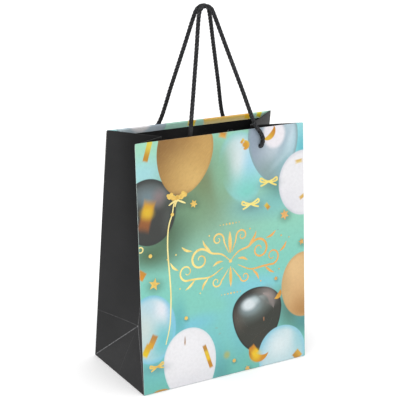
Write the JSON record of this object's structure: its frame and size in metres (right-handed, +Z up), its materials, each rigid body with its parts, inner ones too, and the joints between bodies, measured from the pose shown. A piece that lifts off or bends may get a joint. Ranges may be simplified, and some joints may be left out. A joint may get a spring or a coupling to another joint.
{
  "type": "gift bag",
  "caption": "Upright paper gift bag with tucked-in side gussets, a turned-in rim, a base board and twisted cord handles that swing out.",
  "frame": {"origin": "middle of the base, on the surface the bag stands on", "axes": "+Z up towards the mouth and handles, -Y out of the front panel, +X to the right seen from the front"},
  "size_m": [0.178, 0.098, 0.3393],
  "materials": {
    "printed_paper": "printed, satin laminated",
    "black_paper": "printed black, matt laminated",
    "greyboard": "raw greyboard",
    "black_cord": "twisted polypropylene cord",
    "gold_foil": "hot-stamped gold foil"
  },
  "bodies": {
    "root": {"front_panel": "printed_paper", "rear_panel": "printed_paper", "left_gusset_front": "black_paper", "left_gusset_rear": "black_paper", "right_gusset_front": "black_paper", "right_gusset_rear": "black_paper", "left_foot": "black_paper", "right_foot": "black_paper", "side_seam_flap": "black_paper", "bottom_flap_front": "black_paper", "bottom_flap_rear": "black_paper", "bottom_flap_left": "black_paper", "bottom_flap_right": "black_paper", "front_cord_patch": "black_paper", "front_rim_card": "greyboard", "rear_rim_card": "greyboard", "base_board": "greyboard", "front_cord_end_left": "black_cord", "front_cord_end_right": "black_cord", "rear_cord_end_left": "black_cord", "rear_cord_end_right": "black_cord", "front_knot_right": "black_cord", "rear_knot_left": "black_cord", "rear_knot_right": "black_cord"},
    "front_handle": {"front_handle": "black_cord"},
    "rear_handle": {"rear_handle": "black_cord"}
  },
  "joints": [
    {"name": "front_handle_hinge", "type": "hinge", "parent": "root", "child": "front_handle", "pos_m": [-0.0305, -0.02158, 0.22992], "axis": [0.961, -0.1217, -0.2482], "range_deg": [0, 105]},
    {"name": "rear_handle_hinge", "type": "hinge", "parent": "root", "child": "rear_handle", "pos_m": [0, 0.03051, 0.21171], "axis": [-1, 0, 0], "range_deg": [0, 178]}
  ]
}
